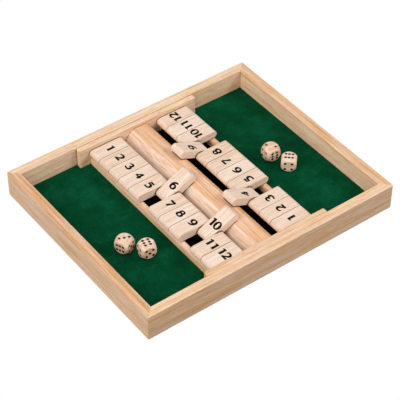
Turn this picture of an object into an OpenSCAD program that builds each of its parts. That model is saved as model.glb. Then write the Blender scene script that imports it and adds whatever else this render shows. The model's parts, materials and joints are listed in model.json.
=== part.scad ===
// Two-sided shut the box game: a mitred wooden tray with two felt throwing
// fields, and between them two facing rows of numbered tiles that flip over on
// rods and come to rest on a rounded centre bar.
// Millimetres, +Z up. X runs across the rows, Y along them. The origin is the
// centre of the tray on the surface it stands on.

/* [Tray] */
// Outer length of the tray, across the rows
tray_l = 340; // [280:1:420]
// Outer width of the tray, along the rows
tray_w = 279; // [220:1:340]
// Height of the rails
tray_h = 34; // [31:0.5:48]
// Thickness of the rails
rail_t = 12.2; // [9:0.1:16]
// Radius of the tray's upright corners
corner_r = 2; // [1:0.5:5]
// Width of the chamfer that eases the rails' top edges
rail_ease = 0.8; // [0.2:0.1:2]

/* [Base] */
// Height of the base panel's underside above the table
base_z = 3.2; // [2:0.1:6]
// Thickness of the plywood base panel
base_t = 3; // [2.5:0.5:5]
// Depth of the groove that holds the panel in each rail
groove_d = 5; // [3:0.5:7]
// Play of the panel between two facing grooves
groove_play = 0.4; // [0.2:0.1:1]
// Thickness of the felt
felt_t = 1.5; // [0.8:0.1:3]

/* [Mechanism frame] */
// Thickness of the end strips that carry the rods
strip_t = 7.7; // [5:0.1:10]
// How far the end strips run past the tile rests
strip_reach = 14.2; // [6:0.1:30]
// Step from the rails' top down to the end strips' top
strip_step = 1.1; // [0:0.1:4]
// Height of the tile rests' top above the table
rest_h = 18; // [17:0.1:24]
// Thickness of each tile rest, whose top is fully rounded
rest_t = 7.7; // [4:0.1:10]
// How far the open tiles reach past their rest
overhang = 1.5; // [1:0.1:5]

/* [Centre bar] */
// Width of the centre bar
bar_w = 40.7; // [34:0.1:50]
// Height of the centre bar's crest above the table
bar_h = 29.8; // [27:0.1:33]
// Height at which the centre bar's upright sides turn into its slopes
bar_side_h = 16.2; // [14:0.1:21]
// Half width of the flat crest before its shoulders are rounded
crest_half = 10.4; // [8:0.1:13]
// Radius of the centre bar's rounded shoulders
shoulder_r = 8; // [4:0.5:10]

/* [Tiles] */
// Number of tiles in each row
tile_count = 12; // [12:1:12]
// Length of a tile
tile_l = 45.7; // [42:0.1:50]
// Thickness of a tile, with fully rounded ends
tile_t = 10; // [8:0.1:10.5]
// Gap between neighbouring tiles
tile_gap = 0.35; // [0.3:0.05:1]
// Play of a whole row along its rod
row_slack = 3.4; // [1:0.1:6]
// Part of that play between each row and the back end strip
back_gap = 0.5; // [0.3:0.1:1]
// Least slot between the centre bar and the open tiles
slot_w = 4.8; // [3:0.1:8]
// Least distance between two facing tiles that are both flipped
meet_gap = 1; // [0.5:0.1:2]
// Distance from a tile's inner end to its rod hole
rod_inset = 10.7; // [8:0.1:13]
// Distance of the rod hole below the middle of the open tile
rod_drop = 0; // [0:0.1:1.5]
// Gap that an open tile keeps to its rest, and a flipped one to the bar
seat_gap = 0.25; // [0.2:0.05:0.5]

/* [Rods] */
// Diameter of the steel rods
rod_d = 4; // [2.5:0.1:5]
// Radial running clearance of a tile on its rod
rod_fit = 0.08; // [0.02:0.01:0.1]
// Radial clearance of a rod in its hole through an end strip
rod_seat = 0.03; // [0.01:0.01:0.05]
// Gap left between a rod's end and the rail behind it
rod_end_gap = 0.5; // [0.2:0.1:1]

/* [Dice] */
// Edge length of a die
die_s = 18; // [12:0.5:22]
// Diameter of the ball that rounds a die's corners, as a share of its edge
die_round = 1.3; // [1.25:0.01:1.5]
// Gap between a die and the felt
die_gap = 0.2; // [0.1:0.05:0.4]

/* [Hidden] */
$fn = 64;
// Extra length by which a cut runs out of the wood
over = 2;
rows = ["left", "right"];

// Tiles that lie flipped onto the centre bar, by number
flipped_left = [6, 10];
flipped_right = [9, 4];
// Centre of each die on its felt and its turn about the upright
dice = [[-118, -20.7, 22.5], [-102.5, -41.3, -12], [106.7, 2.8, -7], [112.7, -23.8, -43.5]];

base_top = base_z + base_t;
felt_top = base_top + felt_t;
inner_l = tray_l - 2*rail_t;
inner_w = tray_w - 2*rail_t;
row_span = inner_w - 2*strip_t;
strip_top = tray_h - strip_step;

// One row, measured outwards from the middle of the tray
tile_in = max(bar_w/2 + slot_w, tile_l - 2*rod_inset + meet_gap/2);
tile_out = tile_in + tile_l;
rod_x = tile_in + rod_inset;
tile_z = rest_h + seat_gap;
rod_z = tile_z + tile_t/2 - rod_drop;
rest_out = tile_out - overhang;
rest_in = rest_out - rest_t;
strip_half = rest_out + strip_reach;
tile_pitch = (row_span - row_slack)/tile_count;
tile_w = tile_pitch - tile_gap;

// Slope of the centre bar's sides and the centre of its rounded shoulder
slope = atan2(bar_h - bar_side_h, bar_w/2 - crest_half);
shoulder_z = bar_h - shoulder_r;
shoulder_x = (sin(slope)*bar_w/2 + cos(slope)*bar_side_h - shoulder_r
    - cos(slope)*shoulder_z)/sin(slope);

// Slope at which a flipped tile's lower face meets the shoulder
reach_x = rod_x - shoulder_x;
reach_z = rod_z - shoulder_z;
face_drop = tile_t/2 + rod_drop;
rest_slope = asin((face_drop + shoulder_r + seat_gap)/norm([reach_x, reach_z]))
    - atan2(reach_z, reach_x);
flip_turn = 180 - rest_slope;

module mirrored_x(side) {
    mirror([side < 0 ? 1 : 0, 0, 0]) children();
}

// Plan of the whole tray, with rounded corners
module tray_plan() {
    half_l = tray_l/2 - corner_r;
    half_w = tray_w/2 - corner_r;
    square([tray_l, 2*half_w], center = true);
    square([2*half_l, tray_w], center = true);
    for (sx = [-1, 1], sy = [-1, 1])
        translate([sx*half_l, sy*half_w]) circle(corner_r);
}

// A rail of the given length along X, outer face at y = 0, inner side +Y
module rail_stock(length) {
    e = rail_ease;
    rotate([90, 0, 90]) translate([0, 0, -length/2]) linear_extrude(length)
        difference() {
            polygon([[0, 0], [rail_t, 0], [rail_t, tray_h - e], [rail_t - e, tray_h],
                     [e, tray_h], [0, tray_h - e]]);
            translate([rail_t - groove_d, base_z]) square([groove_d + over, base_t]);
        }
}

// The rail along one side, with both ends mitred
module mitred_rail(length, offset_out) {
    intersection() {
        translate([0, -offset_out, 0]) rail_stock(length);
        translate([0, -offset_out, 0]) linear_extrude(tray_h)
            polygon([[-length/2, 0], [length/2, 0],
                     [length/2 - rail_t, rail_t], [-length/2 + rail_t, rail_t]]);
    }
}

module rail_front() {
    color("burlywood") intersection() {
        mitred_rail(tray_l, tray_w/2);
        linear_extrude(tray_h) tray_plan();
    }
}

module rail_back() { rotate([0, 0, 180]) rail_front(); }

module rail_left() {
    color("burlywood") intersection() {
        rotate([0, 0, -90]) mitred_rail(tray_w, tray_l/2);
        linear_extrude(tray_h) tray_plan();
    }
}

module rail_right() { rotate([0, 0, 180]) rail_left(); }

// Plywood panel held in the rails' grooves
module base_panel() {
    size = [inner_l + 2*groove_d - groove_play,
        inner_w + 2*groove_d - groove_play, base_t];
    color("tan") translate([0, 0, base_z + base_t/2]) cube(size, center = true);
}

// One throwing field, cut around the ends of the end strips
module felt(side) {
    color("darkgreen") mirrored_x(side) translate([0, 0, base_top]) linear_extrude(felt_t)
        difference() {
            translate([rest_out, -inner_w/2]) square([inner_l/2 - rest_out, inner_w]);
            for (sy = [-1, 1])
                translate([rest_out - over, sy*(inner_w - strip_t)/2 - strip_t/2])
                    square([strip_reach + over, strip_t]);
        }
}

module felt_left() { felt(-1); }
module felt_right() { felt(1); }

// Black cloth on the floor of the well under one row
module well_lining(side) {
    color("black") mirrored_x(side) translate([bar_w/2, -row_span/2, base_top])
        cube([rest_in - bar_w/2, row_span, felt_t]);
}

module well_lining_left() { well_lining(-1); }
module well_lining_right() { well_lining(1); }

// Strip against the rail, bored through for each rod; the rail closes the bore
module end_strip(side) {
    color("wheat") translate([0, side*(row_span + strip_t)/2, 0]) difference() {
        translate([-strip_half, -strip_t/2, base_top])
            cube([2*strip_half, strip_t, strip_top - base_top]);
        for (sx = [-1, 1])
            translate([sx*rod_x, 0, rod_z]) rotate([90, 0, 0])
                cylinder(r = rod_d/2 + rod_seat, h = strip_t + over, center = true);
    }
}

module end_strip_front() { end_strip(-1); }
module end_strip_back() { end_strip(1); }

// Low rail with a rounded top, on which the open tiles lie
module tile_rest(side) {
    r = rest_t/2;
    color("burlywood") mirrored_x(side) rotate([90, 0, 0])
        linear_extrude(row_span, center = true) {
            translate([rest_in, base_top]) square([rest_t, rest_h - r - base_top]);
            translate([rest_in + r, rest_h - r]) circle(r);
        }
}

module tile_rest_left() { tile_rest(-1); }
module tile_rest_right() { tile_rest(1); }

function arc(cx, cy, r, from, to, n) =
    [for (i = [0:n]) let (a = from + (to - from)*i/n) [cx + r*cos(a), cy + r*sin(a)]];

// Bar between the rows: upright sides, straight slopes, rounded shoulders
module centre_bar() {
    turn = 90 - slope;
    outline = concat(
        [[-bar_w/2, base_top], [bar_w/2, base_top], [bar_w/2, bar_side_h]],
        arc(shoulder_x, shoulder_z, shoulder_r, turn, 90, 12),
        arc(-shoulder_x, shoulder_z, shoulder_r, 90, 180 - turn, 12),
        [[-bar_w/2, bar_side_h]]);
    color("burlywood") rotate([90, 0, 0]) translate([0, 0, -row_span/2])
        linear_extrude(row_span) polygon(outline);
}

module rod(side) {
    length = row_span + 2*(strip_t - rod_end_gap);
    color("silver") translate([side*rod_x, 0, rod_z]) rotate([90, 0, 0])
        cylinder(d = rod_d, h = length, center = true);
}

module rod_left() { rod(-1); }
module rod_right() { rod(1); }

// A tile about its rod hole, lying outwards along +X as it does when open
module tile_blank() {
    r = tile_t/2;
    rotate([90, 0, 0]) difference() {
        linear_extrude(tile_w, center = true) translate([-rod_inset, rod_drop]) {
            translate([r, -r]) square([tile_l - tile_t, tile_t]);
            translate([r, 0]) circle(r);
            translate([tile_l - r, 0]) circle(r);
        }
        cylinder(r = rod_d/2 + rod_fit, h = tile_w + over, center = true);
    }
}

// Tile k of one row; tile 1 is at the back on the left, at the front on the right
module tile(side, k) {
    flipped = len(search(k, side < 0 ? flipped_left : flipped_right)) > 0;
    first_gap = side < 0 ? back_gap : row_slack + tile_gap - back_gap;
    y = row_span/2 - first_gap - tile_w/2 - (k - 1)*tile_pitch;
    color("antiquewhite") translate([side*rod_x, -side*y, rod_z]) mirrored_x(side)
        rotate([0, flipped ? -flip_turn : 0, 0]) tile_blank();
}

// A wooden die turned to a ball at its corners
module die(d) {
    p = dice[d - 1];
    color("wheat") translate([p[0], p[1], felt_top + die_gap + die_s/2]) rotate([0, 0, p[2]])
        intersection() {
            cube(die_s, center = true);
            sphere(d = die_s*die_round);
        }
}

rail_left();
rail_right();
rail_front();
rail_back();
base_panel();
felt_left();
felt_right();
well_lining_left();
well_lining_right();
end_strip_front();
end_strip_back();
tile_rest_left();
tile_rest_right();
centre_bar();
rod_left();
rod_right();
for (k = [1:tile_count]) {
    tile(-1, k);
    tile(1, k);
}
for (d = [1:4]) {
    die(d);
}
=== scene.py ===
import math
import random

import bpy
import numpy as np
from mathutils import Matrix, Vector
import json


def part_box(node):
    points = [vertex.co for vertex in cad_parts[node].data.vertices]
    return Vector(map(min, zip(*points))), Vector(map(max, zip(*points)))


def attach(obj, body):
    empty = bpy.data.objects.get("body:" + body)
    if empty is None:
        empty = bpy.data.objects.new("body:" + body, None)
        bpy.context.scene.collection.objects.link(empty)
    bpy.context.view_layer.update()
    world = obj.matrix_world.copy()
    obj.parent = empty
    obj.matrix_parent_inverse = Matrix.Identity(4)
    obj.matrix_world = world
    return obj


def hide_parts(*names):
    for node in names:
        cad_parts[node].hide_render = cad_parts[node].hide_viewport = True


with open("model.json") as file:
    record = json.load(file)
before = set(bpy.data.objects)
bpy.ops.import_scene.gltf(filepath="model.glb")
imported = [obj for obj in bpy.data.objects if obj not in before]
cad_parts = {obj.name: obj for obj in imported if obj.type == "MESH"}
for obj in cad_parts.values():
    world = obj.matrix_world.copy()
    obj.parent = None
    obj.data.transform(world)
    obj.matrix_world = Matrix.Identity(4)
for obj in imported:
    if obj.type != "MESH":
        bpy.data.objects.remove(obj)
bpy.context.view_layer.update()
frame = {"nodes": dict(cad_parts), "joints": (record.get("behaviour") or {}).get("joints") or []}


# ---- Tray rails ---------------------------------------------------------------------------
# Four rubberwood rails, planed, sanded and lacquered. The glued frame is rounded at its
# corners and eased along its edges as one, so it is modelled whole and parted at the mitres.

MM = 0.001
CORNER_ROUND = 2 * MM
EDGE_EASE = 0.9 * MM
MITRE_LINE = 0.12 * MM
GROOVE_DEPTH = 5 * MM
# How far a cutting solid reaches past what it cuts
PAST = 5 * MM
# How pale each rail is on its top and on its other faces: each rail's own wood tone, with
# painted light and shade that sets its top and its sides apart
RAIL_TONE_AND_PAINTED_LIGHT = {"left": (-0.28, -0.08), "right": (-0.16, 0.18), "front": (0.08, -0.08),
             "back": (0.18, 0.25)}
# How near to a face another one has to be to darken it with painted shade
CREVICE = 2.5 * MM
# Edges that turn by more degrees than this are shaded sharp
CREASE = 35


def alone(piece):
    """Makes a piece the only selected object and the active one."""
    bpy.ops.object.select_all(action="DESELECT")
    piece.select_set(True)
    bpy.context.view_layer.objects.active = piece


def block(name, low, high):
    """A cuboid between two corners, with its place in its mesh."""
    bpy.ops.object.select_all(action="DESELECT")
    bpy.ops.mesh.primitive_cube_add(size=1, location=(low + high) / 2, scale=high - low)
    bpy.ops.object.transform_apply()
    bpy.context.object.name = name
    return bpy.context.object


def duplicate(piece, name):
    """A copy of a piece with its own mesh."""
    made = piece.copy()
    made.data = piece.data.copy()
    made.name = name
    bpy.context.scene.collection.objects.link(made)
    return made


def apply_modifier(piece, kind, **settings):
    """Adds a modifier with these settings and applies it."""
    alone(piece)
    made = piece.modifiers.new(kind, kind)
    for key, value in settings.items():
        setattr(made, key, value)
    bpy.ops.object.modifier_apply(modifier=made.name)


def combine(piece, other, operation="DIFFERENCE", **settings):
    """Cuts, joins or intersects a piece with another solid, which is used up."""
    apply_modifier(piece, "BOOLEAN", object=other, operation=operation, solver="EXACT",
                   **{"material_mode": "INDEX", **settings})
    bpy.data.objects.remove(other)


def round_edges(piece, wanted, width, steps=3):
    """Rounds the edges whose two ends pass the test."""
    alone(piece)
    bpy.ops.object.mode_set(mode="EDIT")
    bpy.ops.mesh.select_mode(type="EDGE")
    bpy.ops.mesh.select_all(action="DESELECT")
    bpy.ops.object.mode_set(mode="OBJECT")
    points = piece.data.vertices
    for edge in piece.data.edges:
        edge.select = wanted(*(points[i].co for i in edge.vertices))
    bpy.ops.object.mode_set(mode="EDIT")
    bpy.ops.mesh.bevel(offset=width, segments=steps, profile=0.5, affect="EDGES",
                       clamp_overlap=False)
    bpy.ops.object.mode_set(mode="OBJECT")


def trim(piece, point, away):
    """Cuts off what lies on the far side of a plane and closes the cut."""
    alone(piece)
    bpy.ops.object.mode_set(mode="EDIT")
    bpy.ops.mesh.select_all(action="SELECT")
    bpy.ops.mesh.bisect(plane_co=point, plane_no=away, use_fill=True, clear_outer=True,
                        threshold=0.001 * MM)
    bpy.ops.object.mode_set(mode="OBJECT")


def tidy(piece):
    """Merges doubles, turns faces outwards and shades all but the sharp edges smooth."""
    alone(piece)
    bpy.ops.object.mode_set(mode="EDIT")
    bpy.ops.mesh.select_all(action="SELECT")
    bpy.ops.mesh.remove_doubles(threshold=0.002 * MM)
    bpy.ops.mesh.normals_make_consistent(inside=False)
    bpy.ops.object.mode_set(mode="OBJECT")
    bpy.ops.object.shade_smooth_by_angle(angle=math.radians(CREASE))
    apply_modifier(piece, "WEIGHTED_NORMAL", keep_sharp=True)


def near(a, b, gap=0.01 * MM):
    """Whether two places on a line are the same, but for rounding."""
    return abs(a - b) < gap


def linear(code):
    """An sRGB hex colour as linear RGBA."""
    parts = [int(code[i:i + 2], 16) / 255 for i in (1, 3, 5)]
    return [p / 12.92 if p <= 0.04045 else ((p + 0.055) / 1.055) ** 2.4 for p in parts] + [1]


def add_node(tree, kind, inputs=None, stops=(), **settings):
    """Adds a node, sets it, and gives its inputs a value each or a link.

    stops are the (position, hex colour) stops of a colour ramp."""
    made = tree.nodes.new(kind)
    for key, value in settings.items():
        setattr(made, key, value)
    for i, (position, code) in enumerate(stops):
        ramp = made.color_ramp.elements
        stop = ramp[i] if i < len(ramp) else ramp.new(position)
        stop.position = position
        stop.color = linear(code)
    for key, value in (inputs or {}).items():
        if isinstance(value, bpy.types.NodeSocket):
            tree.links.new(value, made.inputs[key])
        else:
            made.inputs[key].default_value = value
    return made


def new_material(name):
    """An empty material with a Principled shader, and its node tree."""
    made = bpy.data.materials.new(name)
    made.use_nodes = True
    made.node_tree.nodes.clear()
    shader = add_node(made.node_tree, "ShaderNodeBsdfPrincipled")
    add_node(made.node_tree, "ShaderNodeOutputMaterial", {"Surface": shader.outputs["BSDF"]})
    return made, made.node_tree, shader


def connect(tree, shader, color, roughness, height, depth):
    """Gives a shader its colour, its roughness and the relief of a height map."""
    bump = add_node(tree, "ShaderNodeBump", {"Height": height, "Distance": depth, "Strength": 1})
    tree.links.new(color, shader.inputs["Base Color"])
    tree.links.new(roughness, shader.inputs["Roughness"])
    tree.links.new(bump.outputs["Normal"], shader.inputs["Normal"])


def timber(name, tones, blush, streak, ring, figure, pores, gloss, painted_shade):
    """Sawn wood, read in the timber's own millimetres, with the fibres along x.

    tones runs from the dark late wood to the pale early wood, blush is the colour that comes
    up in patches and streak the one that comes up in short streaks, ring is the ring spacing
    in mm, figure says how strongly the rings show, pores how dark the vessels are, gloss is
    the range of roughness, and the last says how open a joint is that just stays free of the
    painted shade that darkens joints and creases."""
    material, tree, shader = new_material(name)
    place = add_node(tree, "ShaderNodeAttribute", attribute_name="grain").outputs["Vector"]
    # The tone is the wood's own, and on the rails and the bar also painted light and shade
    tone = add_node(tree, "ShaderNodeAttribute", attribute_name="tone").outputs["Fac"]

    def fibrous(along, across, detail):
        """Noise that the fibres draw out, by its size along and across them in mm."""
        scaled = add_node(tree, "ShaderNodeMapping",
                          {"Vector": place, "Scale": (1 / along, 1 / across, 1 / across)})
        noise = add_node(tree, "ShaderNodeTexNoise",
                         {"Vector": scaled.outputs["Vector"], "Scale": 1, "Detail": detail})
        return noise.outputs["Fac"]

    # A ring wanders 25 times less along the fibres than across them, and a wave texture at
    # scale 1 has a ring every 2 pi / 20 units
    drawn_out = add_node(tree, "ShaderNodeMapping", {"Vector": place, "Scale": (1 / 25, 1, 1)})
    rings = add_node(tree, "ShaderNodeTexWave",
                     {"Vector": drawn_out.outputs["Vector"], "Scale": math.tau / 20 / ring,
                      "Distortion": 6, "Detail": 2, "Detail Scale": 1.6},
                     wave_type="RINGS", rings_direction="X").outputs["Fac"]
    for pattern, weight in ((fibrous(120, 16, 2), 0.5), (rings, figure),
                            (fibrous(50, 1.6, 4), 1.3)):
        tone = add_node(tree, "ShaderNodeMath", {0: pattern, 1: weight, 2: tone},
                        operation="MULTIPLY_ADD").outputs["Value"]
    level = add_node(tree, "ShaderNodeMath", {0: tone, 1: 0.4 + figure / 2},
                     operation="SUBTRACT").outputs["Value"]
    color = add_node(tree, "ShaderNodeValToRGB", {"Fac": level}, stops=tones).outputs["Color"]

    # Vessels are 0.1 mm wide in the real wood, and are drawn as dashes of half a millimetre
    vessels = add_node(tree, "ShaderNodeMapRange",
                       {"Value": fibrous(9, 0.55, 1), "From Min": 0.6, "From Max": 0.72}
                       ).outputs["Result"]
    # Painted shade: where other faces are near, in joints and creases where shade falls, the
    # colour darkens towards dark brown
    sky = add_node(tree, "ShaderNodeAmbientOcclusion", {"Distance": CREVICE}, samples=8)
    # Each layer's colour is missing where its pattern has the first value, and is as strong
    # as the third number says where it has the second
    for pattern, none, full, strength, code in (
            (fibrous(70, 5, 3), 0.42, 0.66, 0.75, blush),
            (fibrous(22, 1.8, 3), 0.52, 0.72, 0.8, streak),
            (vessels, 0, 1, pores, "#7A5636"),
            (sky.outputs["AO"], painted_shade, painted_shade - 0.4, 1, "#3A2212")):
        cover = add_node(tree, "ShaderNodeMapRange",
                         {"Value": pattern, "From Min": none, "From Max": full,
                          "To Max": strength})
        color = add_node(tree, "ShaderNodeMix",
                         {0: cover.outputs["Result"], 6: color, 7: linear(code)},
                         data_type="RGBA").outputs[2]

    sheen = add_node(tree, "ShaderNodeMapRange",
                     {"Value": fibrous(40, 3, 2), "From Min": 0.3, "From Max": 0.7,
                      "To Min": gloss[0], "To Max": gloss[1]})
    fuzz = add_node(tree, "ShaderNodeMath", {0: fibrous(30, 0.8, 2), 1: 0.5},
                    operation="MULTIPLY")
    height = add_node(tree, "ShaderNodeMath", {0: fuzz.outputs["Value"], 1: vessels},
                      operation="SUBTRACT")
    connect(tree, shader, color, sheen.outputs["Result"], height.outputs["Value"], 0.03 * MM)
    return material


def lay_grain(piece, fibres, stretch, tone=0):
    """Writes each point's place in the timber, with x along the fibres, and its tone.

    fibres is the axis of the object that they follow, stretch moves the piece to another
    stretch of timber, and tone makes it paler or, below 0, darker; on the rails and the bar it
    also carries painted light and shade."""
    order = {"x": (0, 1, 2), "y": (1, 0, 2)}[fibres]
    points = np.empty(len(piece.data.vertices) * 3, np.float32)
    piece.data.vertices.foreach_get("co", points)
    points = points.reshape(-1, 3)[:, order] / MM + np.array(stretch, np.float32)
    made = piece.data.attributes.new("grain", "FLOAT_VECTOR", "POINT")
    made.data.foreach_set("vector", points.astype(np.float32).ravel())
    made = piece.data.attributes.new("tone", "FLOAT", "POINT")
    made.data.foreach_set("value", np.broadcast_to(np.float32(tone), len(points)).copy())


def place_piece(piece, body, material, node):
    """Gives a finished piece its material, its body and the node it stands for."""
    piece.data.materials.append(material)
    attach(piece, body)
    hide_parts(node)


timber_draw = random.Random(7)


def from_log(heart):
    """A random stretch of timber whose rings are centred about this far below it, in mm."""
    return (timber_draw.uniform(-900, 900), timber_draw.uniform(-14, 14),
            heart + timber_draw.uniform(-6, 6))


# Rubberwood under clear satin lacquer: pale honey with orange streaks along the rail, pinkish
# patches and a slight shine.
rubberwood = timber("rubberwood_satin_lacquer",
                    [(0.1, "#CC945C"), (0.38, "#E0AF7A"), (0.62, "#EEC899"), (0.9, "#F7DDBE")],
                    blush="#ECC8B0", streak="#DFA274", ring=7, figure=0.2, pores=0.3,
                    gloss=(0.38, 0.52), painted_shade=0.64)

sides = {side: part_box("rail_" + side) for side in ("left", "right", "front", "back")}
tray_low = Vector((sides["left"][0].x, sides["front"][0].y, sides["left"][0].z))
tray_high = Vector((sides["right"][1].x, sides["back"][1].y, sides["left"][1].z))
inner_low = Vector((sides["left"][1].x, sides["front"][1].y, tray_low.z))
inner_high = Vector((sides["right"][0].x, sides["back"][0].y, tray_high.z))
panel_low, panel_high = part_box("base_panel")
past = Vector((0, 0, PAST))
groove = Vector((GROOVE_DEPTH, GROOVE_DEPTH, 0))

whole_frame = block("whole_frame", tray_low, tray_high)
round_edges(whole_frame, lambda a, b: near(a.x, b.x) and near(a.y, b.y), CORNER_ROUND,
            steps=10)
combine(whole_frame, block("opening", inner_low - past, inner_high + past))
combine(whole_frame, block("groove", Vector((*inner_low.xy, panel_low.z)) - groove,
                           Vector((*inner_high.xy, panel_high.z)) + groove))
for level in (tray_high.z, tray_low.z):
    round_edges(whole_frame, lambda a, b: near(a.z, level) and near(b.z, level), EDGE_EASE)

outward = {"left": Vector((-1, 0, 0)), "right": Vector((1, 0, 0)),
           "front": Vector((0, -1, 0)), "back": Vector((0, 1, 0))}
for side, out in outward.items():
    rail = duplicate(whole_frame, side + "_rail")
    along = Vector((abs(out.y), abs(out.x), 0))
    for end in (-1, 1):
        corner = Vector((tray_high.x * (out.x or end), tray_high.y * (out.y or end), 0))
        away = (along * end - out).normalized()
        trim(rail, corner, away)
        round_edges(rail, lambda a, b: near((a - corner).dot(away), 0)
                    and near((b - corner).dot(away), 0), MITRE_LINE, steps=1)
    tidy(rail)
    # A rail's top and its other faces get different tones: painted light and shade
    top, other = RAIL_TONE_AND_PAINTED_LIGHT[side]
    lay_grain(rail, "y" if out.x else "x", from_log(heart=60),
              [top if near(point.co.z, tray_high.z) else other
               for point in rail.data.vertices])
    place_piece(rail, "tray", rubberwood, "rail_" + side)
bpy.data.objects.remove(whole_frame)


# ---- Base panel ---------------------------------------------------------------------------
# Thin birch plywood, sanded and left raw, held in the rails' grooves. Only its underside is
# seen, with the wide wavy figure of a veneer that was peeled from the log.

# From one line of the figure to the next
FIGURE_STEP = 18.7 * MM

birch, tree, shader = new_material("birch_plywood_raw")
place = add_node(tree, "ShaderNodeTexCoord").outputs["Object"]
# The figure is drawn out 12 times along the panel, and a wave texture at scale 1 has a line
# every 2 pi / 20 units
peeled = add_node(tree, "ShaderNodeMapping",
                  {"Vector": place, "Scale": Vector((1 / 12, 1, 1)) / FIGURE_STEP})
figure = add_node(tree, "ShaderNodeTexWave",
                  {"Vector": peeled.outputs["Vector"], "Scale": math.tau / 20, "Distortion": 9,
                   "Detail": 3, "Detail Scale": 0.8}, bands_direction="Y").outputs["Fac"]
# The fibres are 0.03 mm thick, and are drawn as bundles of a millimetre
fine = add_node(tree, "ShaderNodeMapping",
                {"Vector": place, "Scale": Vector((1 / 15, 1, 1)) / (1.11 * MM)})
fibres = add_node(tree, "ShaderNodeTexNoise", {"Vector": fine.outputs["Vector"], "Scale": 1})
tone = add_node(tree, "ShaderNodeMath", {0: figure, 1: 0.5, 2: fibres.outputs["Fac"]},
                operation="MULTIPLY_ADD").outputs["Value"]
color = add_node(tree, "ShaderNodeValToRGB", {"Fac": tone},
                 stops=[(0.3, "#C79C6A"), (0.7, "#D9B384"), (1, "#E6C79E")]).outputs["Color"]
dull = add_node(tree, "ShaderNodeMapRange", {"Value": tone, "To Min": 0.62, "To Max": 0.75})
connect(tree, shader, color, dull.outputs["Result"], fibres.outputs["Fac"], 0.02 * MM)
panel = frame["nodes"]["base_panel"]
panel.data.materials.clear()
panel.data.materials.append(birch)


# ---- Felt and lining ----------------------------------------------------------------------
# Each field is one piece of pressed felt, cut around the ends of the end strips and glued
# down. The floor of the well under each row is lined with a thinner felt, coloured black as
# painted shade for the deep wells.

FELT_EASE = 0.4 * MM
# How deep the felt's slight waves are, and how far apart the points that follow them
FELT_WAVE = 0.16 * MM
FELT_GRID = 3 * MM


def felted(name, dark, mid, pale):
    """Pressed wool felt: no weave, a cloudy nap of short fibres, no shine."""
    material, tree, shader = new_material(name)
    place = add_node(tree, "ShaderNodeTexCoord").outputs["Object"]
    clouds = add_node(tree, "ShaderNodeTexNoise",
                      {"Vector": place, "Scale": 1 / (22 * MM), "Detail": 4, "Roughness": 0.6})
    # The fibres are 0.03 mm thick, and the nap is drawn as tufts of about a millimetre
    nap = add_node(tree, "ShaderNodeTexNoise",
                   {"Vector": place, "Scale": 1 / (1.1 * MM), "Detail": 3, "Roughness": 0.7,
                    "Distortion": 1.5})
    tone = add_node(tree, "ShaderNodeMath",
                    {0: clouds.outputs["Fac"], 1: 0.6, 2: nap.outputs["Fac"]},
                    operation="MULTIPLY_ADD").outputs["Value"]
    color = add_node(tree, "ShaderNodeValToRGB", {"Fac": tone},
                     stops=[(0.55, dark), (0.8, mid), (1, pale)]).outputs["Color"]
    rough = add_node(tree, "ShaderNodeMapRange",
                     {"Value": nap.outputs["Fac"], "To Min": 0.85, "To Max": 1})
    connect(tree, shader, color, rough.outputs["Result"], nap.outputs["Fac"], 0.25 * MM)
    shader.inputs["Specular IOR Level"].default_value = 0.05
    return material


def lay_sheet(piece, material, node):
    """Gives a cut sheet its slight unevenness and a soft upper edge, and lays it down."""
    low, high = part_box(node)
    round_edges(piece, lambda a, b: near(a.z, high.z) and near(b.z, high.z), FELT_EASE,
                steps=2)
    alone(piece)
    bpy.ops.object.mode_set(mode="EDIT")
    for axis, start, end in ((0, low.x, high.x), (1, low.y, high.y)):
        for i in range(1, round((end - start) / FELT_GRID)):
            bpy.ops.mesh.select_all(action="SELECT")
            cut = Vector((0, 0, 0))
            cut[axis] = start + i * FELT_GRID
            bpy.ops.mesh.bisect(plane_co=cut, plane_no=Vector((axis == 0, axis == 1, 0)))
    bpy.ops.object.mode_set(mode="OBJECT")
    for point in piece.data.vertices:
        if near(point.co.z, high.z):
            # Two shallow ripples, 6 to 7 cm from crest to crest
            x, y = point.co.x / MM, point.co.y / MM
            rise = math.sin(x / 9 + 1.3 * math.sin(y / 13)) + math.sin(y / 11 + x / 29)
            point.co.z += FELT_WAVE * (rise / 4 - 0.5)
    tidy(piece)
    place_piece(piece, "tray", material, node)


green_felt = felted("green_pressed_felt", "#003219", "#004427", "#0A5B3D")
# The well lining is black as painted shade, for wells that lie in shade
shade_black_felt = felted("black_felt_painted_shade", "#000000", "#020202", "#060606")

strip_low, strip_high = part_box("end_strip_back")
strip_end, strip_thick = strip_high.x, strip_high.y - strip_low.y
for side, toward in (("left", -1), ("right", 1)):
    node = "felt_" + side
    low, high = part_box(node)
    felt = block(side + "_felt", low, high)
    notch = Vector((strip_end - min(abs(low.x), abs(high.x)), strip_thick))
    for end in (-1, 1):
        corners = [Vector((toward * (strip_end - notch.x - MM), end * (high.y + MM), low.z)),
                   Vector((toward * strip_end, end * (high.y - notch.y), high.z))]
        lowest = Vector(map(min, *corners)) - past
        highest = Vector(map(max, *corners)) + past
        combine(felt, block("notch", lowest, highest))
    lay_sheet(felt, green_felt, node)

    node = "well_lining_" + side
    lining = block(side + "_lining", *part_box(node))
    lay_sheet(lining, shade_black_felt, node)


# ---- Rods ---------------------------------------------------------------------------------
# One drawn steel rod through each row of tiles, cut to length and deburred at its ends. The
# end strips' bores hold it, and the rails close them.

ROD_EASE = 0.3 * MM


def rod_shape(name, radius, start, end, sides=48):
    """A cylinder between two points, with its place in its mesh."""
    turn = (end - start).to_track_quat("Z", "Y").to_euler()
    bpy.ops.object.select_all(action="DESELECT")
    bpy.ops.mesh.primitive_cylinder_add(vertices=sides, radius=radius, depth=(end - start).length,
                                        location=(start + end) / 2, rotation=turn)
    bpy.ops.object.transform_apply()
    bpy.context.object.name = name
    return bpy.context.object


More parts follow.
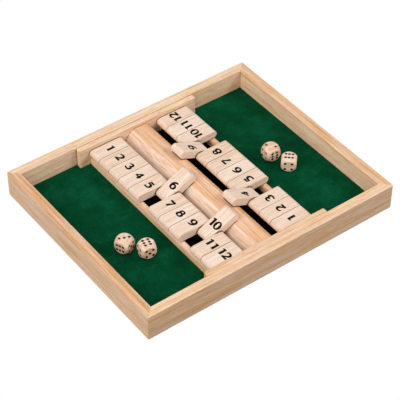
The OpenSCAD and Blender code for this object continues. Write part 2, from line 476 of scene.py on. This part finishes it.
# Bright drawn steel: fine scratches along the rod, and a soft shine. They are hundredths of a
# millimetre wide, and are drawn as lines of a quarter.
rod_steel, tree, shader = new_material("drawn_steel")
place = add_node(tree, "ShaderNodeTexCoord").outputs["Object"]
drawn = add_node(tree, "ShaderNodeMapping",
                 {"Vector": place, "Scale": Vector((1, 1 / 44.4, 1)) / (0.25 * MM)})
scratches = add_node(tree, "ShaderNodeTexNoise",
                     {"Vector": drawn.outputs["Vector"], "Scale": 1}).outputs["Fac"]
color = add_node(tree, "ShaderNodeValToRGB", {"Fac": scratches},
                 stops=[(0.2, "#9C9A96"), (0.8, "#C4C2BE")]).outputs["Color"]
rough = add_node(tree, "ShaderNodeMapRange",
                 {"Value": scratches, "To Min": 0.22, "To Max": 0.38})
connect(tree, shader, color, rough.outputs["Result"], scratches, 0.005 * MM)
shader.inputs["Metallic"].default_value = 1

rods = {}
for side in ("left", "right"):
    low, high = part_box("rod_" + side)
    middle = (low + high) / 2
    start, end = Vector((middle.x, low.y, middle.z)), Vector((middle.x, high.y, middle.z))
    rods[side] = start, end, (high.x - low.x) / 2
    rod = rod_shape(side + "_rod", rods[side][2], start, end)
    round_edges(rod, lambda a, b: near(a.y, b.y), ROD_EASE, steps=2)
    tidy(rod)
    place_piece(rod, "tray", rod_steel, "rod_" + side)


# ---- End strips ---------------------------------------------------------------------------
# A strip of the same rubberwood, glued against the front rail and one against the back rail,
# closes the two wells. Each is bored through for the rods before it goes in.

STRIP_EASE = 1.6 * MM
# The clearance around a rod in its bore
ROD_SEAT = 0.03 * MM
STRIP_TONE = {"front": -0.05, "back": 0.2}

for end, tone in STRIP_TONE.items():
    node = "end_strip_" + end
    strip = block(end + "_end_strip", *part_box(node))
    through = Vector((0, strip_thick, 0))
    for start, stop, radius in rods.values():
        combine(strip, rod_shape("bore", radius + ROD_SEAT, start - through, stop + through))
    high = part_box(node)[1]
    round_edges(strip, lambda a, b: near(a.z, high.z) and near(b.z, high.z)
                or near(abs(a.x), high.x) and near(abs(b.x), high.x), STRIP_EASE)
    tidy(strip)
    lay_grain(strip, "x", from_log(heart=45), tone)
    place_piece(strip, "tray", rubberwood, node)


# ---- Tile rests ---------------------------------------------------------------------------
# A low rubberwood rail, glued down along the edge of each felt, carries the free ends of the
# open tiles. Its top is planed fully round, so that a falling tile leaves no dent.

for side in ("left", "right"):
    node = "tile_rest_" + side
    low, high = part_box(node)
    rest = block(side + "_tile_rest", low, high)
    round_edges(rest, lambda a, b: near(a.z, high.z) and near(b.z, high.z)
                and near(a.x, b.x), (high.x - low.x) / 2, steps=12)
    tidy(rest)
    lay_grain(rest, "y", from_log(heart=45))
    place_piece(rest, "tray", rubberwood, node)


# ---- Centre bar ---------------------------------------------------------------------------
# The bar between the rows is planed to a hump, so that the flipped tiles from both sides
# lean on its rounded shoulders. It is glued in, and its wood has a stronger figure.

# How high its sides are, and how far the flat of its crest reaches from the middle
BAR_SIDE = 16.2 * MM
BAR_CREST = 10.4 * MM
SHOULDER_ROUND = 8 * MM
# The left slope is painted lighter and the right one darker: painted light and shade
LEFT_SLOPE_PAINTED_LIGHT, RIGHT_SLOPE_PAINTED_SHADE = 0.4, -0.3

low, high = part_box("centre_bar")
bar = block("hump_bar", low, high)
slope = math.atan2(high.z - BAR_SIDE, high.x - BAR_CREST)
for end in (-1, 1):
    trim(bar, Vector((end * high.x, 0, BAR_SIDE)),
         Vector((end * math.sin(slope), 0, math.cos(slope))))
round_edges(bar, lambda a, b: near(abs(a.x), BAR_CREST) and near(a.x, b.x),
            SHOULDER_ROUND * math.tan(slope / 2), steps=12)
round_edges(bar, lambda a, b: near(a.z, BAR_SIDE) and near(b.z, BAR_SIDE)
            and near(a.x, b.x), STRIP_EASE)
tidy(bar)
# The left slope's painted light reaches 1 mm onto the crest, and the right slope is painted
# darker as painted shade
lay_grain(bar, "y", from_log(heart=38),
          [LEFT_SLOPE_PAINTED_LIGHT if point.co.x < MM - BAR_CREST
           else RIGHT_SLOPE_PAINTED_SHADE if point.co.x > BAR_CREST else 0
           for point in bar.data.vertices])
# Rubberwood under the same lacquer: orange along the grain, with pale pinkish streaks.
bar_wood = timber("rubberwood_bar_satin_lacquer",
                  [(0.1, "#C4834A"), (0.36, "#DEA268"), (0.6, "#EDBD8C"), (0.9, "#F8DEC8")],
                  blush="#EFC6AC", streak="#DC9866", ring=6.5, figure=0.35, pores=0.3,
                  gloss=(0.36, 0.5), painted_shade=0.8)
place_piece(bar, "tray", bar_wood, "centre_bar")


# ---- Number tiles -------------------------------------------------------------------------
# Each tile is cut from a pale maple strip with fully rounded ends, drilled across for the
# rod, and printed with its number on both faces. The tiles of a row are alike.

TILE_EASE = 0.3 * MM
# The clearance around the rod, on which the tile turns freely
ROD_FIT = 0.08 * MM
TILE_TONE = (-0.2, 0.08)
# How far the ink reaches above the face, and as far into it
INK = 0.04 * MM
# The numbers sit a little off the middle across the tile, and the ones that show when it is
# flipped twice as far, and a little further from its outer end
PRINT_SHIFT = {"left": 0.7 * MM, "right": -0.9 * MM}
FLIPPED_SHIFT = 2
FLIPPED_OFF = -1 * MM
# The prints, in mm, that sit nearer to a tile's outer end than most, or below 0 further
PRINT_OFF = {"left_6": -1, "left_7": -1, "left_8": -1, "left_9": -3.2, "left_10": -0.8,
             "left_12": -2, "right_5": 0.9, "right_6": -0.8, "right_7": -0.9, "right_9": 1.8,
             "right_12": -1.7}
DIGIT_STEP = 8.5 * MM
# The width of a stroke where it is 1 wide in the list below
PEN = 1.38 * MM

# Strokes of each numeral by their points, as (across, up, width), in mm from the numeral's
# middle and in pens. A stroke is straight, curved, or curved and closed.
STRAIGHT, CURVED, CLOSED = "straight", "curved", "closed"
SIX = [(CURVED, [(3.3, 4.4, 1.2), (-0.3, 3.7, 1.8), (-2.9, 0.7, 2.4), (-3.2, -1.6, 2.4)]),
       (CLOSED, [(0.1, 1.0, 1.2), (3.2, -1.7, 2.4), (0.1, -4.4, 1.2), (-3.1, -1.7, 2.4)])]
NUMERALS = {
    "0": [(CLOSED, [(0, 4.5, 1.1), (3.3, 0, 2.6), (0, -4.5, 1.1), (-3.3, 0, 2.6)])],
    "1": [(STRAIGHT, [(0.9, 5, 2.2), (0.9, -5, 2.5)]),
          (STRAIGHT, [(1.2, 4.3, 1.4), (-2.6, 3.6, 1)])],
    "2": [(CURVED, [(-3.2, 2.5, 1.2), (-2.1, 4.1, 1.4), (0.4, 4.4, 1.6), (2.7, 2.8, 2.4),
                    (2.3, 0.6, 2.2), (0, -1.8, 1.5), (-2.9, -4, 1.2)]),
          (STRAIGHT, [(-3.7, -4.1, 1.8), (4, -4.1, 1.8)])],
    "3": [(CURVED, [(-3.4, 3, 1.2), (-1.6, 4.3, 1.4), (1, 4.2, 1.7), (2.4, 2.6, 2.3),
                    (1.2, 1, 1.6), (-0.9, 0.5, 1)]),
          (CURVED, [(-0.9, 0.5, 1), (1.7, 0.1, 1.6), (3.2, -1.9, 2.5), (1.8, -4, 2),
                    (-1, -4.4, 1.4), (-3.8, -3.4, 1.5)])],
    "4": [(STRAIGHT, [(1.6, 5, 2), (1.6, -5, 2.5)]),
          (STRAIGHT, [(1.4, 4.6, 1.1), (-3.8, -1.6, 1.3)]),
          (STRAIGHT, [(-4.2, -1.8, 1.5), (4.3, -1.8, 1.5)])],
    "5": [(STRAIGHT, [(-2.4, 4.2, 1.7), (3.6, 4.2, 1.7)]),
          (STRAIGHT, [(-2.2, 4.4, 1.1), (-2.8, 0.5, 1.1)]),
          (CURVED, [(-3, 0.7, 1.1), (-0.2, 1.4, 1.7), (2.7, -0.3, 2.4), (2.6, -2.6, 2.4),
                    (0.2, -4.3, 1.5), (-3.7, -4, 1.6)])],
    "6": SIX,
    "7": [(STRAIGHT, [(-4, 4.1, 1.9), (4, 4.1, 1.9)]),
          (CURVED, [(3.6, 3.8, 1.2), (0.9, -0.4, 1.7), (-1.3, -5, 2.5)])],
    "8": [(CLOSED, [(0, 4.5, 1.2), (2.5, 2.4, 2.1), (0, 0.3, 1.4), (-2.5, 2.4, 2.1)]),
          (CLOSED, [(0, 0.7, 1.4), (3.2, -2, 2.4), (0, -4.6, 1.2), (-3.2, -2, 2.4)])],
    "9": [(form, [(-x, -y, width) for x, y, width in stroke]) for form, stroke in SIX],
}


def pen_stroke(form, stroke, nib):
    """A flat solid that a pen of changing width draws, as a mesh object."""
    curve = bpy.data.curves.new("stroke", "CURVE")
    curve.dimensions = "2D"
    curve.fill_mode = "NONE"
    curve.bevel_mode = "OBJECT"
    curve.bevel_object = nib
    curve.use_fill_caps = True
    curve.resolution_u = 10
    spline = curve.splines.new("BEZIER")
    spline.bezier_points.add(len(stroke) - 1)
    spline.use_cyclic_u = form == CLOSED
    for point, (across, up, width) in zip(spline.bezier_points, stroke):
        point.co = (across * MM, up * MM, 0)
        point.radius = width * PEN
        kind = "VECTOR" if form == STRAIGHT else "AUTO"
        point.handle_left_type = point.handle_right_type = kind
    made = bpy.data.objects.new("stroke", curve)
    bpy.context.scene.collection.objects.link(made)
    alone(made)
    bpy.ops.object.convert(target="MESH")
    made = bpy.context.object
    for point in made.data.vertices:
        point.co.z = math.copysign(INK, point.co.z)
    tidy(made)
    return made


def draw_numeral(digit, nib):
    """One numeral, its strokes joined into one flat solid."""
    strokes = [pen_stroke(form, stroke, nib) for form, stroke in NUMERALS[digit]]
    made = strokes[0]
    for other in strokes[1:]:
        combine(made, other, "UNION", use_self=True)
    tidy(made)
    made.name = "numeral_" + digit
    return made


nib_curve = bpy.data.curves.new("nib", "CURVE")
nib_curve.dimensions = "2D"
edge = nib_curve.splines.new("POLY")
edge.points.add(3)
for point, (across, up) in zip(edge.points, ((-1, -1), (1, -1), (1, 1), (-1, 1))):
    point.co = (across / 2, up * INK, 0, 1)
edge.use_cyclic_u = True
nib = bpy.data.objects.new("nib", nib_curve)
bpy.context.scene.collection.objects.link(nib)
numerals = {digit: draw_numeral(digit, nib) for digit in NUMERALS}
bpy.data.objects.remove(nib)


def thin_paint(name, patch, detail, stops, dullness, relief):
    """Dark paint that covers unevenly, in patches of this size."""
    material, tree, shader = new_material(name)
    place = add_node(tree, "ShaderNodeTexCoord").outputs["Object"]
    patches = add_node(tree, "ShaderNodeTexNoise",
                       {"Vector": place, "Scale": 1 / patch, "Detail": detail}).outputs["Fac"]
    color = add_node(tree, "ShaderNodeValToRGB", {"Fac": patches}, stops=stops)
    rough = add_node(tree, "ShaderNodeMapRange",
                     {"Value": patches, "To Min": dullness[0], "To Max": dullness[1]})
    connect(tree, shader, color.outputs["Color"], rough.outputs["Result"], patches, relief)
    return material, shader


# Black pad-printing ink, thin and slightly uneven, duller than the lacquered rails.
print_ink, shader = thin_paint("black_printing_ink", 1.4 * MM, detail=3,
                               stops=[(0.3, "#020101"), (0.75, "#080504")],
                               dullness=(0.4, 0.6), relief=0.01 * MM)
shader.inputs["Specular IOR Level"].default_value = 0.08

# Maple, fine-sanded under a thin matt lacquer: nearly white, with faint pink and tan lines
# along the tile and hardly any shine.
maple = timber("maple_matt_lacquer",
               [(0.1, "#DDBB98"), (0.36, "#EACFB2"), (0.62, "#F3DEC8"), (0.9, "#F9EADA")],
               blush="#F1D0BE", streak="#E2B69A", ring=3.2, figure=0.2, pores=0.15,
               gloss=(0.5, 0.62), painted_shade=0.95)

joints = {joint["child"]: joint for joint in frame["joints"]}
low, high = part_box("tile_right_1")
hinge = Vector(joints["tile_right_1"]["pos_m"])
tile_low, tile_high = low - hinge, high - hinge
tile_thick = tile_high.z - tile_low.z
half_width = tile_high.y

blank = block("tile_blank", tile_low, tile_high)
round_edges(blank, lambda a, b: near(a.x, b.x) and near(a.z, b.z), tile_thick / 2, steps=12)
bore_end = Vector((0, half_width + PAST, 0))
combine(blank, rod_shape("bore", rods["right"][2] + ROD_FIT, -bore_end, bore_end))
tidy(blank)
round_edges(blank, lambda a, b: near(abs(a.y), half_width) and near(a.y, b.y), TILE_EASE)
tidy(blank)
face_middle = (tile_low.x + tile_high.x) / 2


def print_number(side, number):
    """A tile's number on its upper face and, for when it is flipped, on its lower face."""
    text = str(number)
    steps = [(i - (len(text) - 1) / 2) * DIGIT_STEP for i in range(len(text))]
    edges = [step + point.co.x for step, digit in zip(steps, text)
             for point in numerals[digit].data.vertices]
    margin = half_width - TILE_EASE
    centre = face_middle + PRINT_OFF.get("{}_{}".format(side, number), 0) * MM
    faces = ((tile_high.z, Vector((-1, 0, 0)), centre, PRINT_SHIFT[side]),
             (tile_low.z, Vector((1, 0, 0)), centre + FLIPPED_OFF,
              PRINT_SHIFT[side] * FLIPPED_SHIFT))
    right = Vector((0, 1, 0))
    made = []
    for level, up, middle, shift in faces:
        turn = Matrix((right, up, right.cross(up))).transposed().to_4x4()
        shift = min(max(shift, -margin - min(edges)), margin - max(edges))
        for step, digit in zip(steps, text):
            printed = duplicate(numerals[digit], "printed_" + digit)
            printed.data.transform(Matrix.Translation((middle, step + shift, level)) @ turn)
            made.append(printed)
    bpy.ops.object.select_all(action="DESELECT")
    for printed in made:
        printed.select_set(True)
    bpy.context.view_layer.objects.active = made[0]
    bpy.ops.object.join()
    made[0].name = "{}_number_{}".format(side, number)
    return made[0]


for side in ("left", "right"):
    for number in range(1, sum(node.startswith("tile_" + side) for node in joints) + 1):
        node = "tile_{}_{}".format(side, number)
        joint = joints[node]
        facing = Matrix.Rotation(math.pi if side == "left" else 0, 4, "Z")
        flip = Matrix.Rotation(math.radians(joint["range_deg"][0]), 4, "Y")
        seat = Matrix.Translation(joint["pos_m"]) @ facing @ flip
        tile = duplicate(blank, "{}_tile_{}".format(side, number))
        lay_grain(tile, "x", from_log(heart=30), timber_draw.uniform(*TILE_TONE))
        tile.data.transform(seat)
        place_piece(tile, node, maple, node)
        printed = print_number(side, number)
        printed.data.transform(seat)
        printed.data.materials.append(print_ink)
        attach(printed, node)
bpy.data.objects.remove(blank)
for numeral in numerals.values():
    bpy.data.objects.remove(numeral)


# ---- Dice ---------------------------------------------------------------------------------
# Beech dice, cut as cubes and tumbled until their flat faces are circles. The pips are drilled
# as shallow dimples and filled with dark paint. The dice lie loose on the felt.

# The radius of the ball that rounds a die, in halves of its side
DIE_BALL = 1.3
DIE_EASE = 0.35 * MM
PIP_RADIUS = 1.7 * MM
PIP_DEPTH = 0.55 * MM
# From the middle of a face to its outer pips, and across a six to its two lines of pips
PIP_STEP = 4 * MM
PIP_LINE = 3.1 * MM
# Each die's turn in degrees, the numbers on three of its faces, with what makes seven on the
# opposite ones, and the faces whose pips are turned, so that a two or a three falls from left
# to right and a six stands
DICE = {
    "die_1": (22.5, {"+z": 3, "-x": 6, "-y": 5}, ["+z"]),
    "die_2": (-12, {"+z": 6, "-y": 5, "-x": 4}, ["+z"]),
    "die_3": (-7, {"+z": 2, "-y": 6, "-x": 4}, ["+z", "-y"]),
    "die_4": (-43.5, {"+z": 6, "-y": 4, "+x": 5}, []),
}
OPPOSITE = str.maketrans("+-", "-+")


def ball(name, radius, segments, rings):
    """A ball at the origin."""
    bpy.ops.object.select_all(action="DESELECT")
    bpy.ops.mesh.primitive_uv_sphere_add(segments=segments, ring_count=rings, radius=radius)
    bpy.context.object.name = name
    return bpy.context.object


def pip_places(count, turned):
    """Where a face's pips lie, as (across, up) from its middle."""
    if count == 6:
        places = [(i * PIP_STEP, j * PIP_LINE) for i in (-1, 0, 1) for j in (-1, 1)]
    else:
        places = [(0, 0)] if count % 2 else []
        if count > 1:
            places += [(PIP_STEP, PIP_STEP), (-PIP_STEP, -PIP_STEP)]
        if count > 3:
            places += [(PIP_STEP, -PIP_STEP), (-PIP_STEP, PIP_STEP)]
    return [(up, -across) for across, up in places] if turned else places


def face_axes(face):
    """The directions to the right, up and out of a die's face."""
    out = Vector((0, 0, 0))
    out["xyz".index(face[1])] = 1 if face[0] == "+" else -1
    up = Vector((0, 1, 0)) if face[1] == "z" else Vector((0, 0, 1))
    return up.cross(out), up, out


# Dark brown-black paint, matt, a little worn at the bottom of the dimple.
pip_paint, shader = thin_paint("pip_paint", 0.8 * MM, detail=2,
                               stops=[(0.35, "#0E0503"), (0.75, "#3A1610")],
                               dullness=(0.5, 0.7), relief=0.02 * MM)

# Beech, sanded by the tumbling and left raw: pinkish, with fine darker flecks and no shine.
dice_wood = timber("beech_dice_sanded",
                   [(0.1, "#D6AA88"), (0.36, "#E8C6A6"), (0.62, "#F2D9C0"), (0.9, "#F8E6D3")],
                   blush="#E6B89C", streak="#D69C78", ring=3.5, figure=0.2, pores=0.2,
                   gloss=(0.45, 0.58), painted_shade=0.7)

low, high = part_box("die_1")
half = (high.z - low.z) / 2
corner = Vector((half, half, half))
die_blank = block("die_blank", -corner, corner)
die_blank.data.materials.append(dice_wood)
combine(die_blank, ball("tumbled_round", half * DIE_BALL, segments=64, rings=48), "INTERSECT")
tidy(die_blank)
apply_modifier(die_blank, "BEVEL", width=DIE_EASE, segments=2, limit_method="ANGLE",
               angle_limit=math.radians(30))

# The ball that leaves a dimple of the pips' radius and depth
dimple = (PIP_RADIUS ** 2 + PIP_DEPTH ** 2) / (2 * PIP_DEPTH)
drill = ball("pip_drill", dimple, segments=20, rings=14)
drill.data.materials.append(pip_paint)

for node, (yaw, seen, turned) in DICE.items():
    die = duplicate(die_blank, node + "_cube")
    hidden = {face.translate(OPPOSITE): 7 - count for face, count in seen.items()}
    for face, count in {**seen, **hidden}.items():
        right, up, out = face_axes(face)
        for across, along in pip_places(count, face in turned):
            pip = duplicate(drill, "pip")
            where = right * across + up * along + out * (half + dimple - PIP_DEPTH)
            pip.data.transform(Matrix.Translation(where))
            combine(die, pip, material_mode="TRANSFER")
    tidy(die)
    lay_grain(die, "x", from_log(heart=28))
    low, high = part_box(node)
    die.data.transform(Matrix.Translation((low + high) / 2)
                       @ Matrix.Rotation(math.radians(yaw), 4, "Z"))
    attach(die, node)
    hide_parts(node)
bpy.data.objects.remove(die_blank)
bpy.data.objects.remove(drill)


# ---- Studio -------------------------------------------------------------------------------
# A white table, a softbox overhead, a broad and strong one on the left, a smaller one at the
# front right that draws the soft shadows beside the dice, and the camera.

FLOOR_SIZE = 12
# How much of the table's own white the camera and the steel see, and how bright it is
FLOOR_LIFT = 0.8
FLOOR_GLOW = 1.24
SKY_LIGHT = 0.46


def seen_directly(tree):
    """1 for what the camera, a reflection or clear glass sees, and 0 for what gives light."""
    path = add_node(tree, "ShaderNodeLightPath").outputs
    seen = path["Is Camera Ray"]
    for ray in ("Is Glossy Ray", "Is Transmission Ray"):
        seen = add_node(tree, "ShaderNodeMath", {0: seen, 1: path[ray]},
                        operation="MAXIMUM").outputs["Value"]
    return seen


bpy.ops.object.select_all(action="DESELECT")
bpy.ops.mesh.primitive_plane_add(size=FLOOR_SIZE)
floor = bpy.context.object
floor.name = "floor"
# White laminate, matt: it shows white and still takes the tray's soft shadow.
table = bpy.data.materials.new("white_table")
table.use_nodes = True
tree = table.node_tree
tree.nodes.clear()
lift = add_node(tree, "ShaderNodeMath", {0: seen_directly(tree), 1: FLOOR_LIFT},
                operation="MULTIPLY")
paint = add_node(tree, "ShaderNodeBsdfDiffuse", {"Color": linear("#404040")})
glow = add_node(tree, "ShaderNodeEmission",
                {"Color": linear("#FFFFFF"), "Strength": FLOOR_GLOW})
mix = add_node(tree, "ShaderNodeMixShader",
               {0: lift.outputs["Value"], 1: paint.outputs["BSDF"], 2: glow.outputs["Emission"]})
add_node(tree, "ShaderNodeOutputMaterial", {"Surface": mix.outputs["Shader"]})
floor.data.materials.append(table)

world = bpy.data.worlds.new("studio")
world.use_nodes = True
bpy.context.scene.world = world
tree = world.node_tree
tree.nodes.clear()
direct = seen_directly(tree)
strength = add_node(tree, "ShaderNodeMapRange",
                    {"Value": direct, "To Min": SKY_LIGHT, "To Max": 1.0})
# The room's own light is a little cooler than the softboxes
tint = add_node(tree, "ShaderNodeMix",
                {0: direct, 6: linear("#F4F7FF"), 7: linear("#FFFFFF")}, data_type="RGBA")
sky = add_node(tree, "ShaderNodeBackground",
               {"Color": tint.outputs[2], "Strength": strength.outputs["Result"]})
add_node(tree, "ShaderNodeOutputWorld", {"Surface": sky.outputs["Background"]})


def softbox(name, place, size, watts):
    """A square area light that faces the middle of the tray."""
    light = bpy.data.lights.new(name, "AREA")
    light.shape = "SQUARE"
    light.size = size
    light.energy = watts
    made = bpy.data.objects.new(name, light)
    made.location = place
    made.rotation_euler = (-Vector(place)).to_track_quat("-Z", "Y").to_euler()
    bpy.context.scene.collection.objects.link(made)


softbox("overhead_softbox", place=(0.3, 0.2, 2.4), size=2, watts=4)
softbox("left_softbox", place=(-2.8, -0.7, 2.15), size=3, watts=89)
softbox("front_right_softbox", place=(1.8, -1.6, 1.9), size=0.9, watts=34)

# The camera stands above the tray's front left corner
CAMERA_PLACE = Vector((-0.76242, -1.01874, 1.20228))
AZIMUTH, ELEVATION, ROLL = 53.147, 43.361, 0.233
LENS = 137.04
camera = bpy.data.objects.new("camera", bpy.data.cameras.new("camera"))
camera.data.sensor_width = 36
camera.data.lens = LENS
camera.data.clip_end = 30
camera.matrix_world = (Matrix.Translation(CAMERA_PLACE)
                       @ Matrix.Rotation(math.radians(AZIMUTH - 90), 4, "Z")
                       @ Matrix.Rotation(math.radians(90 - ELEVATION), 4, "X")
                       @ Matrix.Rotation(math.radians(ROLL), 4, "Z"))
bpy.context.scene.collection.objects.link(camera)
bpy.context.scene.camera = camera
bpy.context.scene.view_settings.view_transform = "Standard"
